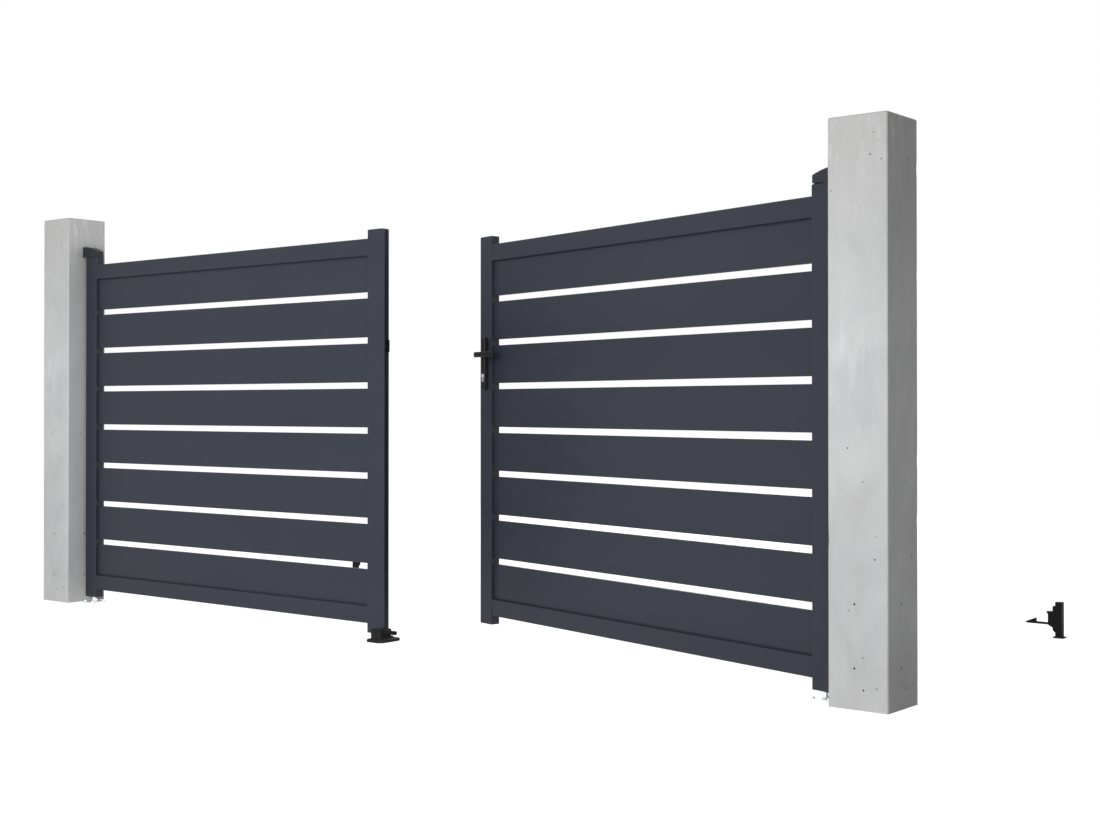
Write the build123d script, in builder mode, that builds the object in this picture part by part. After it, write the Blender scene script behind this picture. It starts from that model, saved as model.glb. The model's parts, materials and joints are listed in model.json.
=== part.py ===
from build123d import *

import os
from math import cos, radians, sin, sqrt

# A two-leaf swing gate of hollow aluminium profiles, hung between two square concrete posts.
# The origin is the middle of the left post's foot. X runs along the opening to the right post,
# Y points back, the way the leaves open, and Z is up. Lengths are in millimetres.

# Posts and opening
post_side = 200.0
post_height = 1795.0
post_chamfer = 3.0
opening_width = 3975.0
post_gap = 23.0            # post face to hinge stile
left_angle = 0.0           # how far each leaf stands open, in degrees
right_angle = 14.85
open_angle = 90.5          # where the hold-open catches keep a leaf

# Leaf profiles
stile_width = 80.0
stile_depth = 40.0
profile_wall = 2.5
profile_corner = 2.0
rail_height = 67.0
rail_depth = 36.0
board_count = 8
board_height = 153.5
board_depth = 15.0
board_wall = 1.6
board_corner = 1.5
board_gap = 24.5
shadow_gap = 5.0           # rail to the first and last board's face
tongue_reach = 10.75       # how far those two boards go into the rail
tongue_depth = 9.0
tongue_play = 0.3
rail_bottom = 63.0         # above the ground
stile_foot = 33.0          # stile below the bottom rail
stile_head = 31.0          # stile above the top rail
lip_reach = 14.0           # fin on the left leaf's edge that covers the gap between the leaves
lip_thickness = 4.0
lip_clearance = 5.0        # fin to the right leaf

# Lock stile's caps
cap_thickness = 4.0
foot_cap_thickness = 3.0
cap_rise = 3.0             # crown in the middle of the top cap
cap_plug = 18.0
cap_play = 0.2

# Hinges
pin_radius = 8.0
pin_lead = 2.0             # chamfer at the stud's end
running_gap = 0.08         # pin to bore, on the radius
bush_height = 46.0
bush_play = 0.2
bush_plate = 3.0
seat_gap = 0.3             # stud's end to the bottom of its bore
floor_plate_side = 80.0
floor_plate_thickness = 6.0
floor_plate_corner = 4.0
floor_hole_radius = 4.5
floor_hole_spacing = 58.0
collar_radius = 13.0
collar_height = 9.0
hinge_gap = 3.0            # leaf's top to the hinge above it
cover_height = 50.0
cover_nose = 26.0          # straight front of the cover
cover_bulge = 6.0          # rise of its curved top over the chord
cover_setback = 6.0        # nose short of the stile's inner edge
cover_width = 46.0
cover_wall = 2.5
cover_edge = 2.5
hinge_plate_thickness = 6.0
hinge_plate_width = 38.0
hinge_arm_thickness = 8.0
hinge_arm_below_top = 24.0
hinge_arm_beyond_pin = 16.0

# Lock and handle
lock_backset = 43.5        # from the lock stile's edge
lever_height = 1125.0      # above the ground
key_below_lever = 85.0
plate_width = 24.0
plate_height = 210.0
plate_above_lever = 69.0
plate_thickness = 16.0
plate_corner = 8.0
plate_edge = 2.0
lever_neck_radius = 8.5
lever_neck_play = 0.5
lever_reach = 34.0         # from the plate to the middle of the grip
lever_length = 135.0
lever_overhang = 10.0      # grip's end beyond the spindle
lever_grip_height = 20.0
lever_grip_depth = 13.0
lever_corner = 4.0
lever_edge = 2.5
spindle_side = 8.0
follower_play = 1.0        # round hole in the lock, over the spindle's corners
key_radius = 8.5
key_leg_width = 10.0
key_total_height = 34.0
key_proud = 3.0
key_play = 0.5
forend_width = 22.0
forend_height = 235.0
forend_thickness = 2.5
case_thickness = 16.0
case_height = 170.0
case_depth = 66.0
strike_height = 47.0
strike_width = 34.0
strike_thickness = 4.5
strike_above_lever = 26.0
latch_height = 26.0
latch_width = 14.0

# Centre stop
stop_length = 121.0        # foot, front to back
stop_width = 90.0
stop_base = 10.0
stop_corner = 25.0
stop_toward_left = 10.0    # foot's middle from the middle of the opening
stop_forward = 10.0
stop_height = 47.0
stop_clearance = 5.0       # to the shut leaves
stop_lip_thickness = 16.0
stop_lip_reach = 47.5      # lip in front of the left leaf, from the middle
stop_web_back = 19.0       # end of the web between the leaves
stop_arm_reach = 78.0      # arm in front of the right leaf, from the middle
stop_arm_height = 13.0
stop_edge = 2.0
stop_hole_radius = 4.5
stop_hole_inset = 16.0

# Hold-open catches
left_catch_reach = 1770.0  # along the open leaf, from its hinge axis
right_catch_reach = 1725.0
catch_clearance = 5.0      # open leaf to the nose and to the tooth
catch_base_length = 42.0
catch_base_width = 36.0
catch_base_thickness = 5.0
catch_upright = 26.0
catch_height = 142.0
catch_cheek_reach = 10.5   # cheeks in front of the upright
catch_cheek_bottom = 20.0
catch_cheek_top = 125.0
catch_block_reach = 19.0   # block in front of the cheeks
catch_block_bottom = 50.0
catch_block_rise = 10.0    # slope under the block
catch_nose_reach = 6.0     # nose in front of the block
catch_nose_top = 103.0
catch_nose_height = 4.0
catch_nose_rise = 7.0      # slope under the nose
catch_slot = 13.0
arm_width = 12.0
arm_height = 54.0          # pivot above the ground
arm_thickness = 8.0
arm_eye_radius = 9.0
arm_pin_radius = 4.0
arm_eye_gap = 1.0          # eye to the sides and back of the slot
tooth_height = 15.0
tooth_ramp = 36.0
arm_tip = 8.0

# Sizes that follow
hinge_inset = stile_width / 2
axis_offset = post_side / 2 + post_gap + hinge_inset
meeting_gap = lip_reach + lip_clearance
leaf_width = (opening_width - meeting_gap) / 2 - post_gap
lock_start = leaf_width - stile_width - hinge_inset
board_length = leaf_width - 2 * stile_width
end_trim = shadow_gap + tongue_reach
leaf_height = (board_count * board_height + (board_count - 1) * board_gap
               - 2 * end_trim + 2 * (shadow_gap + rail_height))
stile_bottom = rail_bottom - stile_foot
rail_top = rail_bottom + leaf_height
stile_top = rail_top + stile_head
leaf_top = stile_top + cap_thickness
first_board = rail_bottom + rail_height - tongue_reach
inner_width = stile_width - 2 * profile_wall
inner_depth = stile_depth - 2 * profile_wall
right_post_x = opening_width + post_side
lock_axis = leaf_width - hinge_inset - lock_backset


def leaf_plane(post_x, toward, angle):
    """Plane of a leaf: origin on the ground at the hinge axis, X along the leaf to its lock, Z up."""
    along = Vector(toward * cos(radians(angle)), sin(radians(angle)), 0)
    return Plane(origin=(post_x + toward * axis_offset, 0, 0), x_dir=along, z_dir=(0, 0, 1))


left_leaf = leaf_plane(0, 1, left_angle)
right_leaf = leaf_plane(right_post_x, -1, right_angle)
left_shut = leaf_plane(0, 1, 0)
right_shut = leaf_plane(right_post_x, -1, 0)
os.makedirs("parts", exist_ok=True)


def keep(piece, name):
    """Label a finished piece and write it."""
    piece.part.label = name
    export_step(piece.part, f"parts/{name}.step")


def at(plane, x, y, z):
    """The plane moved to a point of its own, with its directions kept."""
    return Plane(origin=plane.from_local_coords((x, y, z)), x_dir=plane.x_dir, z_dir=plane.z_dir)


def face_on(plane, x, y, z):
    """A sketch plane across the leaf's thickness: its X along the leaf, its Y up."""
    return Plane(origin=plane.from_local_coords((x, y, z)), x_dir=plane.x_dir, z_dir=-plane.y_dir)


# Posts: square cast columns with a small chamfer all round the top and down the corners
for name, post_x in (("left_post", 0), ("right_post", right_post_x)):
    with BuildPart() as post:
        with BuildSketch(Plane.XY.move(Location((post_x, 0, 0)))):
            Rectangle(post_side, post_side)
        extrude(amount=post_height)
        upright = post.edges().filter_by(Axis.Z)
        chamfer(upright + post.faces().sort_by(Axis.Z)[-1].edges(), post_chamfer)
    keep(post, name)


def tube_section(width, depth, wall, corner):
    """A hollow profile's section, its corners rounded outside."""
    RectangleRounded(width, depth, corner)
    Rectangle(width - 2 * wall, depth - 2 * wall, mode=Mode.SUBTRACT)


def key_outline(play):
    """The key cylinder's outline: a round barrel with a narrower leg below it."""
    Circle(key_radius + play)
    leg = key_total_height - key_radius - key_leg_width / 2
    with Locations((0, -leg / 2)):
        Rectangle(key_leg_width + 2 * play, leg)
    with Locations((0, -leg)):
        Circle(key_leg_width / 2 + play)


# Stiles: the upright tubes at the two ends of a leaf
stile_length = stile_top - stile_bottom
lock_middle = lock_start + stile_width / 2
for side, leaf in (("left", left_leaf), ("right", right_leaf)):
    with BuildPart() as hinge_stile:
        with BuildSketch(at(leaf, 0, 0, stile_bottom)):
            tube_section(stile_width, stile_depth, profile_wall, profile_corner)
        extrude(amount=stile_length)
    keep(hinge_stile, f"{side}_hinge_stile")

# The left leaf's lock stile has a fin, flush with its front, over the gap between the leaves
with BuildPart() as left_lock_stile:
    with BuildSketch(at(left_leaf, lock_middle, 0, stile_bottom)):
        tube_section(stile_width, stile_depth, profile_wall, profile_corner)
    extrude(amount=stile_length)
    lip_foot = stop_height + stop_clearance
    with BuildSketch(at(left_leaf, lock_start + stile_width - profile_wall, -stile_depth / 2, lip_foot)):
        Rectangle(profile_wall + lip_reach, lip_thickness, align=(Align.MIN, Align.MIN))
    extrude(amount=stile_top - lip_foot)
keep(left_lock_stile, "left_lock_stile")

forend_middle = lever_height + plate_above_lever - plate_height / 2
with BuildPart() as right_lock_stile:
    with BuildSketch(at(right_leaf, lock_middle, 0, stile_bottom)):
        tube_section(stile_width, stile_depth, profile_wall, profile_corner)
    extrude(amount=stile_length)
    # holes for the spindle and the key cylinder go through both faces
    with BuildSketch(face_on(right_leaf, lock_axis, 0, lever_height)):
        Circle(lever_neck_radius)
    extrude(amount=stile_depth, both=True, mode=Mode.SUBTRACT)
    with BuildSketch(face_on(right_leaf, lock_axis, 0, lever_height - key_below_lever)):
        key_outline(key_play)
    extrude(amount=stile_depth, both=True, mode=Mode.SUBTRACT)
    # the lock's forend lies in a cut-out of the outer edge
    with BuildSketch(at(right_leaf, lock_start + stile_width, 0, forend_middle - forend_height / 2)):
        Rectangle(2 * profile_wall, forend_width)
    extrude(amount=forend_height, mode=Mode.SUBTRACT)
keep(right_lock_stile, "right_lock_stile")

# Rails: tubes between the stiles, slotted on the inner side for the board's tongue
rail_middle = hinge_inset + board_length / 2
for side, leaf in (("left", left_leaf), ("right", right_leaf)):
    for name, low, slot_side in (("bottom", rail_bottom, 1), ("top", rail_top - rail_height, -1)):
        end = at(leaf, hinge_inset, 0, low + rail_height / 2)
        section = Plane(origin=end.origin, x_dir=end.y_dir, z_dir=end.x_dir)
        with BuildPart() as rail:
            with BuildSketch(section):
                tube_section(rail_depth, rail_height, profile_wall, profile_corner)
                with Locations((0, slot_side * rail_height / 2)):
                    Rectangle(tongue_depth + 2 * tongue_play, 2 * profile_wall, mode=Mode.SUBTRACT)
            extrude(amount=board_length)
        keep(rail, f"{side}_{name}_rail")


def board_section(trim_below, trim_above):
    """One board's hollow section; a trimmed edge carries a tongue for the rail's slot."""
    face = board_height - trim_below - trim_above
    with Locations((0, trim_below + face / 2)):
        RectangleRounded(board_depth, face, board_corner)
    for trim, edge in ((trim_below, trim_below), (trim_above, trim_below + face)):
        if trim:
            outward = 1 if edge > trim_below else -1
            with Locations((0, edge + outward * (trim - board_corner) / 2)):
                Rectangle(tongue_depth, trim + board_corner)
    with Locations((0, trim_below + face / 2)):
        Rectangle(board_depth - 2 * board_wall, face - 2 * board_wall, mode=Mode.SUBTRACT)


# Boards: eight wide hollow boards a leaf, set between the stiles with narrow gaps
board_pitch = board_height + board_gap
for side, leaf in (("left", left_leaf), ("right", right_leaf)):
    with BuildPart() as boards:
        for number in range(board_count):
            end = at(leaf, hinge_inset, 0, first_board + number * board_pitch)
            with BuildSketch(Plane(origin=end.origin, x_dir=end.y_dir, z_dir=end.x_dir)):
                board_section(end_trim if number == 0 else 0, end_trim if number == board_count - 1 else 0)
            extrude(amount=board_length)
    keep(boards, f"{side}_boards")


# Caps: a crowned plate with a plug at the top of each lock stile, a flat one at its foot
for side, leaf in (("left", left_leaf), ("right", right_leaf)):
    with BuildPart() as caps:
        with BuildSketch(at(leaf, lock_middle, 0, stile_top)):
            RectangleRounded(stile_width, stile_depth, profile_corner)
        extrude(amount=cap_thickness - cap_rise)
        with BuildSketch(at(leaf, lock_middle, 0, leaf_top - cap_rise)):
            RectangleRounded(stile_width, stile_depth, profile_corner)
        extrude(amount=cap_rise, taper=45)
        with BuildSketch(at(leaf, lock_middle, 0, stile_bottom)):
            RectangleRounded(stile_width, stile_depth, profile_corner)
        extrude(amount=-foot_cap_thickness)
        for level, way in ((stile_top, -1), (stile_bottom, 1)):
            with BuildSketch(at(leaf, lock_middle, 0, level)):
                Rectangle(inner_width - 2 * cap_play, inner_depth - 2 * cap_play)
            extrude(amount=way * cap_plug)
    keep(caps, f"{side}_stile_caps")

# Bushes: blocks in the hinge stile's two ends that turn on the pins
bush_low = stile_bottom - bush_plate
bush_block = (inner_width - 2 * bush_play, inner_depth - 2 * bush_play)
bore_radius = pin_radius + running_gap
for side, leaf in (("left", left_leaf), ("right", right_leaf)):
    with BuildPart() as bottom_bush:
        with BuildSketch(at(leaf, 0, 0, bush_low)):
            RectangleRounded(stile_width, stile_depth, profile_corner)
        extrude(amount=bush_plate)
        with BuildSketch(at(leaf, 0, 0, stile_bottom)):
            Rectangle(*bush_block)
        extrude(amount=bush_height)
        with BuildSketch(at(leaf, 0, 0, bush_low)):
            Circle(bore_radius)
        extrude(amount=bush_plate + bush_height / 2, mode=Mode.SUBTRACT)
    keep(bottom_bush, f"{side}_bottom_bush")

    with BuildPart() as top_bush:
        with BuildSketch(at(leaf, 0, 0, stile_top - bush_height)):
            Rectangle(*bush_block)
        extrude(amount=bush_height)
        with BuildSketch(at(leaf, 0, 0, stile_top)):
            RectangleRounded(stile_width, stile_depth, profile_corner)
        extrude(amount=cap_thickness)
        with BuildSketch(at(leaf, 0, 0, leaf_top)):
            Circle(bore_radius)
        extrude(amount=-(cap_thickness + bush_height / 2), mode=Mode.SUBTRACT)
    keep(top_bush, f"{side}_top_bush")

# Bottom pivots: a bolted floor plate, and the stud that carries the leaf
stud_top = stile_bottom + bush_height / 2 - seat_gap
for side, foot in (("left", left_shut), ("right", right_shut)):
    with BuildPart() as floor_plate:
        with BuildSketch(foot):
            RectangleRounded(floor_plate_side, floor_plate_side, floor_plate_corner)
            with GridLocations(floor_hole_spacing, floor_hole_spacing, 2, 2):
                Circle(floor_hole_radius, mode=Mode.SUBTRACT)
        extrude(amount=floor_plate_thickness)
    keep(floor_plate, f"{side}_floor_plate")

    with BuildPart() as stud:
        with BuildSketch(at(foot, 0, 0, floor_plate_thickness)):
            RegularPolygon(collar_radius, 6)
        extrude(amount=collar_height)
        with BuildSketch(at(foot, 0, 0, floor_plate_thickness)):
            Circle(pin_radius)
        extrude(amount=stud_top - floor_plate_thickness)
        chamfer(stud.faces().sort_by(Axis.Z)[-1].edges(), pin_lead)
    keep(stud, f"{side}_pivot_stud")


def hood_outline(length, height, nose):
    """A hinge cover's side view: one long curve from the post down to a blunt nose."""
    foot_line = Line((length, 0), (0, 0))
    back_line = Line(foot_line @ 1, (0, height))
    curve = SagittaArc(back_line @ 1, (length, nose), cover_bulge)
    Line(curve @ 1, foot_line @ 0)


# Top hinges: a plate on the post with an arm over the leaf, and a pin down into its bush
hinge_bottom = leaf_top + hinge_gap
arm_top = hinge_bottom + cover_height - hinge_arm_below_top
post_face = -(hinge_inset + post_gap)
cover_length = stile_width + post_gap - cover_setback
for side, hinge in (("left", left_shut), ("right", right_shut)):
    with BuildPart() as top_hinge:
        plate_rise = cover_height - 2 * cover_wall - cover_edge
        with BuildSketch(at(hinge, post_face + hinge_plate_thickness / 2, 0, hinge_bottom)):
            Rectangle(hinge_plate_thickness, hinge_plate_width)
        extrude(amount=plate_rise)
        arm_length = -post_face + hinge_arm_beyond_pin
        with BuildSketch(at(hinge, post_face + arm_length / 2, 0, arm_top)):
            Rectangle(arm_length, hinge_plate_width)
        extrude(amount=-hinge_arm_thickness)
        with BuildSketch(at(hinge, 0, 0, arm_top)):
            Circle(pin_radius)
        extrude(amount=-(arm_top - leaf_top + bush_height / 2 - cap_thickness))
    keep(top_hinge, f"{side}_top_hinge")

    # Covers: a moulded hood over the hinge, open below and towards the post
    side_view = face_on(hinge, post_face, 0, hinge_bottom)
    with BuildPart() as cover:
        with BuildSketch(side_view):
            with BuildLine():
                hood_outline(cover_length, cover_height, cover_nose)
            make_face()
        extrude(amount=cover_width / 2, both=True)
        chamfer(cover.edges().filter_by(GeomType.CIRCLE), cover_edge)
        with BuildSketch(side_view):
            with BuildLine():
                hood_outline(cover_length - cover_wall, cover_height - cover_wall, cover_nose - cover_wall)
            make_face()
        extrude(amount=cover_width / 2 - cover_wall, both=True, mode=Mode.SUBTRACT)
    keep(cover, f"{side}_hinge_cover")

# Strike: a plate on the left leaf's edge, behind the fin, with a slot for the latch
with BuildPart() as strike_plate:
    strike_foot = lever_height + strike_above_lever - strike_height / 2
    strike_face = at(left_leaf, lock_start + stile_width, lip_thickness / 2, strike_foot)
    with BuildSketch(strike_face):
        Rectangle(strike_thickness, strike_width, align=(Align.MIN, Align.CENTER))
    extrude(amount=strike_height)
    with BuildSketch(strike_face.offset((strike_height - latch_height) / 2)):
        Rectangle(strike_thickness, latch_width, align=(Align.MIN, Align.CENTER))
    extrude(amount=latch_height, mode=Mode.SUBTRACT)
keep(strike_plate, "strike_plate")

# Lock: a case inside the right lock stile behind a forend that lies flush in the stile's edge
with BuildPart() as mortise_lock:
    forend_back = lock_start + stile_width - forend_thickness
    with BuildSketch(at(right_leaf, forend_back, 0, forend_middle - forend_height / 2)):
        Rectangle(forend_thickness, forend_width, align=(Align.MIN, Align.CENTER))
    extrude(amount=forend_height)
    with BuildSketch(at(right_leaf, forend_back - case_depth / 2, 0, forend_middle - case_height / 2)):
        Rectangle(case_depth, case_thickness)
    extrude(amount=case_height)
    with BuildSketch(face_on(right_leaf, lock_axis, 0, lever_height)):
        Circle(spindle_side / sqrt(2) + follower_play)
    extrude(amount=stile_depth, both=True, mode=Mode.SUBTRACT)
    with BuildSketch(face_on(right_leaf, lock_axis, 0, lever_height - key_below_lever)):
        key_outline(key_play)
    extrude(amount=stile_depth, both=True, mode=Mode.SUBTRACT)
keep(mortise_lock, "mortise_lock")

# Handle plates: long rounded plates on both faces of the lock stile
for name, facing in (("front_handle_plate", 1), ("back_handle_plate", -1)):
    with BuildPart() as handle_plate:
        with BuildSketch(face_on(right_leaf, lock_axis, facing * stile_depth / 2, forend_middle)):
            RectangleRounded(plate_width, plate_height, plate_corner)
        extrude(amount=-facing * plate_thickness)
        outer = handle_plate.faces().sort_by(Axis(right_leaf.origin, facing * right_leaf.y_dir))[-1]
        chamfer(outer.edges(), plate_edge)
        with BuildSketch(face_on(right_leaf, lock_axis, 0, lever_height)):
            Circle(lever_neck_radius + lever_neck_play)
        extrude(amount=stile_depth, both=True, mode=Mode.SUBTRACT)
        with BuildSketch(face_on(right_leaf, lock_axis, 0, lever_height - key_below_lever)):
            key_outline(key_play)
        extrude(amount=stile_depth, both=True, mode=Mode.SUBTRACT)
    keep(handle_plate, name)

# Key cylinder: one profile bar through both plates, proud of each
with BuildPart() as lock_cylinder:
    with BuildSketch(face_on(right_leaf, lock_axis, 0, lever_height - key_below_lever)):
        key_outline(0)
    extrude(amount=stile_depth / 2 + plate_thickness + key_proud, both=True)
keep(lock_cylinder, "lock_cylinder")

# Levers: a round neck out of the plate into a flat straight grip that points to the hinge
plate_face = stile_depth / 2 + plate_thickness
for name, facing in (("front_lever", -1), ("back_lever", 1)):
    outward = facing * right_leaf.y_dir
    foot = right_leaf.from_local_coords((lock_axis, facing * plate_face, lever_height))
    neck_plane = Plane(origin=foot, x_dir=right_leaf.x_dir, z_dir=outward)
    grip_plane = Plane(origin=foot, x_dir=right_leaf.x_dir, z_dir=right_leaf.x_dir.cross(outward))
    with BuildPart() as lever:
        with BuildSketch(grip_plane):
            with Locations((lever_overhang - lever_length / 2, lever_reach)):
                RectangleRounded(lever_length, lever_grip_depth, lever_corner)
        extrude(amount=lever_grip_height / 2, both=True)
        top_and_bottom = lever.faces().sort_by(Axis.Z)
        chamfer(top_and_bottom[0].edges() + top_and_bottom[-1].edges(), lever_edge)
        with BuildSketch(neck_plane.offset(-plate_thickness)):
            Circle(lever_neck_radius)
        extrude(amount=plate_thickness + lever_reach)
        if name == "front_lever":
            # the square spindle goes through the lock to the lever behind
            with BuildSketch(neck_plane.offset(-plate_thickness)):
                Rectangle(spindle_side, spindle_side)
            extrude(amount=-stile_depth)
    keep(lever, name)

# Centre stop: a cast foot on the ground. A lip and an arm on it stand in front of the shut leaves,
# and a web stands in the gap between them.
middle = Plane(origin=(post_side / 2 + opening_width / 2, 0, 0))
lip_back = -(stile_depth / 2 + stop_clearance)
web = meeting_gap - 2 * stop_clearance
with BuildPart() as centre_stop:
    with BuildSketch(at(middle, -stop_toward_left, -stop_forward, 0)):
        RectangleRounded(stop_width, stop_length, stop_corner)
        with GridLocations(0, stop_length - 2 * stop_hole_inset, 1, 2):
            Circle(stop_hole_radius, mode=Mode.SUBTRACT)
    extrude(amount=stop_base)
    chamfer(centre_stop.faces().sort_by(Axis.Z)[-1].outer_wire().edges(), stop_edge)
    with BuildSketch(at(middle, 0, lip_back, stop_base)):
        with Locations((web / 2, 0)):
            Rectangle(stop_lip_reach + web / 2, stop_lip_thickness, align=(Align.MAX, Align.MAX))
        Rectangle(web, stop_web_back - lip_back, align=(Align.CENTER, Align.MIN))
    extrude(amount=stop_height - stop_base)
    with BuildSketch(at(middle, 0, lip_back, stop_height - stop_arm_height)):
        Rectangle(stop_arm_reach, stop_lip_thickness, align=(Align.MIN, Align.MAX))
    extrude(amount=stop_arm_height)
    chamfer(centre_stop.faces().sort_by(Axis.Z)[-1].edges(), stop_edge)
keep(centre_stop, "centre_stop")

# Hold-open catches: an upright with a nose that the open leaf comes to, and a tilting arm with a tooth
lean = open_angle - 90
nose_face = rail_depth / 2 + catch_clearance
block_face = nose_face + catch_nose_reach
cheek_face = block_face + catch_block_reach
upright_face = cheek_face + catch_cheek_reach
upright_back = upright_face + catch_upright
arm_pivot = block_face + arm_eye_radius - arm_eye_gap
slot_back = arm_pivot + arm_eye_radius + arm_eye_gap
slot_top = arm_height + arm_eye_radius + arm_eye_gap
arm_bottom = arm_height - arm_thickness / 2
arm_top_face = arm_height + arm_thickness / 2
tooth_start = -nose_face - tooth_ramp
for side, hinge, toward, reach in (("left", left_shut, -1, left_catch_reach),
                                   ("right", right_shut, 1, right_catch_reach)):
    leaf_line = hinge.origin.X + toward * reach * sin(radians(lean))
    stand = Plane(origin=(leaf_line, reach * cos(radians(lean)), 0), x_dir=(toward, 0, 0), z_dir=(0, 0, 1))
    profile = Plane(origin=stand.origin, x_dir=stand.x_dir, z_dir=-toward * Vector(0, 1, 0))
    with BuildPart() as catch_body:
        with BuildSketch(at(stand, upright_face + catch_upright / 2, 0, 0)):
            Rectangle(catch_base_length, catch_base_width)
        extrude(amount=catch_base_thickness)
        with BuildSketch(profile):
            with BuildLine():
                Polyline(
                    (upright_face, catch_base_thickness),
                    (upright_back, catch_base_thickness),
                    (upright_back, catch_height),
                    (upright_face, catch_height),
                    (upright_face, catch_cheek_top),
                    (cheek_face, catch_cheek_top),
                    (cheek_face, catch_nose_top),
                    (nose_face, catch_nose_top),
                    (nose_face, catch_nose_top - catch_nose_height),
                    (block_face, catch_nose_top - catch_nose_height - catch_nose_rise),
                    (block_face, catch_block_bottom),
                    (cheek_face, catch_block_bottom - catch_block_rise),
                    (cheek_face, catch_cheek_bottom + catch_cheek_reach),
                    (upright_face, catch_cheek_bottom),
                    close=True,
                )
            make_face()
        extrude(amount=catch_upright / 2, both=True)
        # slot between the cheeks for the arm, crossed by its pin
        with BuildSketch(profile):
            with Locations((block_face, catch_cheek_bottom)):
                Rectangle(slot_back - block_face, slot_top - catch_cheek_bottom, align=(Align.MIN, Align.MIN))
        extrude(amount=catch_slot / 2, both=True, mode=Mode.SUBTRACT)
        with BuildSketch(profile):
            with Locations((arm_pivot, arm_height)):
                Circle(arm_pin_radius)
        extrude(amount=catch_upright / 2, both=True)
    keep(catch_body, f"{side}_catch_body")

    with BuildPart() as catch_arm:
        with BuildSketch(profile):
            with BuildLine():
                Polyline(
                    (arm_pivot, arm_bottom),
                    (arm_pivot, arm_top_face),
                    (-nose_face, arm_top_face),
                    (-nose_face, arm_top_face + tooth_height),
                    (tooth_start, arm_top_face),
                    (tooth_start - arm_tip, arm_height),
                    (tooth_start, arm_bottom),
                    close=True,
                )
            make_face()
            with Locations((arm_pivot, arm_height)):
                Circle(arm_eye_radius)
                Circle(arm_pin_radius + running_gap, mode=Mode.SUBTRACT)
        extrude(amount=arm_width / 2, both=True)
    keep(catch_arm, f"{side}_catch_arm")
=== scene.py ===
import json
import math

import bmesh
import bpy
from mathutils import Matrix, Vector, noise


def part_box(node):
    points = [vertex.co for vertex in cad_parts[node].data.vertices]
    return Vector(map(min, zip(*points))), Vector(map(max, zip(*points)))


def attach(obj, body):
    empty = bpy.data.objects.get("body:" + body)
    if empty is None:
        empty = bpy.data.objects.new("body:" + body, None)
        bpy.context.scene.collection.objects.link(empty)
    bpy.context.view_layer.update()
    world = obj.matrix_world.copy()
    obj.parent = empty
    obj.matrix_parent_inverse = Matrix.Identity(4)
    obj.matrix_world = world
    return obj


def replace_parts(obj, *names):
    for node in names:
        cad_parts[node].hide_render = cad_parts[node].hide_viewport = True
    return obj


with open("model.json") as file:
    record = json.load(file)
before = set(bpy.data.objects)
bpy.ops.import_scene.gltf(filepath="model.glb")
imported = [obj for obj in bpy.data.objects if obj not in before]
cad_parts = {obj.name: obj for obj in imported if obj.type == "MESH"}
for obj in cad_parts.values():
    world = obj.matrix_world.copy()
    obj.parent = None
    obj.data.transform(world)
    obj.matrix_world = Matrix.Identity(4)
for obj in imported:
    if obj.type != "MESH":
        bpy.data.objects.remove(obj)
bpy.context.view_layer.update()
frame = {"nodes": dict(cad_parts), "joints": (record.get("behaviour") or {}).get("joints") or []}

cad = frame["nodes"]
joints = {joint["name"]: joint for joint in frame["joints"]}


# Concrete posts: square columns cast in smooth forms and left as struck. The faces have soft
# clouds and pale streaks of cement, and each face has the same air holes, from the one form.
# The posts stand on footings and hold the leaves by their top hinges.
post_arris = 0.003
post_rows = 60
post_columns = 9
post_waviness = 0.0004
arris_chip_depth = 0.006
arris_chip_level = 0.42
air_holes = (  # across the face and up it, and radius, in metres
    (-0.011, 0.318, 0.0033),
    (-0.011, 0.125, 0.0032),
    (0.019, 0.062, 0.0030),
    (0.063, 0.071, 0.0023),
    (-0.033, 0.788, 0.0024),
    (-0.030, 0.298, 0.0017),
    (0.017, 0.688, 0.0019),
    (0.060, 0.524, 0.0016),
    (0.057, 0.456, 0.0026),
    (0.017, 0.159, 0.0018),
    (0.044, 1.670, 0.0026),
    (0.080, 1.653, 0.0020),
    (0.055, 1.735, 0.0018),
    (0.070, 1.710, 0.0015),
    (-0.089, 1.571, 0.0020),
)
cement_shade = (0.530, 0.534, 0.541, 1)
cement_light = (0.632, 0.634, 0.640, 1)
cement_skin = (0.735, 0.737, 0.747, 1)
cement_grey = (0.440, 0.438, 0.428, 1)
hole_shade_paint = (0.012, 0.012, 0.012, 1)
foot_stain = (0.44, 0.43, 0.41, 1)
# Colour of the painted shade on the posts' side faces.
post_shade_paint = (0.10, 0.10, 0.098, 1)


def add(tree, kind, inputs=None, **settings):
    """One shader node. Inputs are values, or the sockets that feed them."""
    made = tree.nodes.new("ShaderNode" + kind)
    for key, value in settings.items():
        setattr(made, key, value)
    for key, value in (inputs or {}).items():
        if isinstance(value, bpy.types.NodeSocket):
            tree.links.new(value, made.inputs[key])
        else:
            made.inputs[key].default_value = value
    return made


def calc(tree, operation, first, second=0.0):
    """The result of one sum on two values or sockets."""
    return add(tree, "Math", {0: first, 1: second}, operation=operation).outputs[0]


def fade(tree, value, start, end, low=0.0, high=1.0):
    """A value carried from one span to another and held at its ends."""
    spans = {"Value": value, "From Min": start, "From Max": end, "To Min": low, "To Max": high}
    return add(tree, "MapRange", spans).outputs[0]


def tint(tree, amount, base, over):
    """One colour laid over another by an amount."""
    return add(tree, "Mix", {0: amount, 6: base, 7: over}, data_type="RGBA").outputs[2]


def effect(name, inputs, outputs):
    """An empty effect with named sockets, to be placed in more than one finish."""
    group = bpy.data.node_groups.new(name, "ShaderNodeTree")
    for label, kind in inputs.items():
        group.interface.new_socket(label, in_out="INPUT", socket_type="NodeSocket" + kind)
    for label, kind in outputs.items():
        group.interface.new_socket(label, in_out="OUTPUT", socket_type="NodeSocket" + kind)
    return group, group.nodes.new("NodeGroupInput").outputs, group.nodes.new("NodeGroupOutput").inputs


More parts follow.
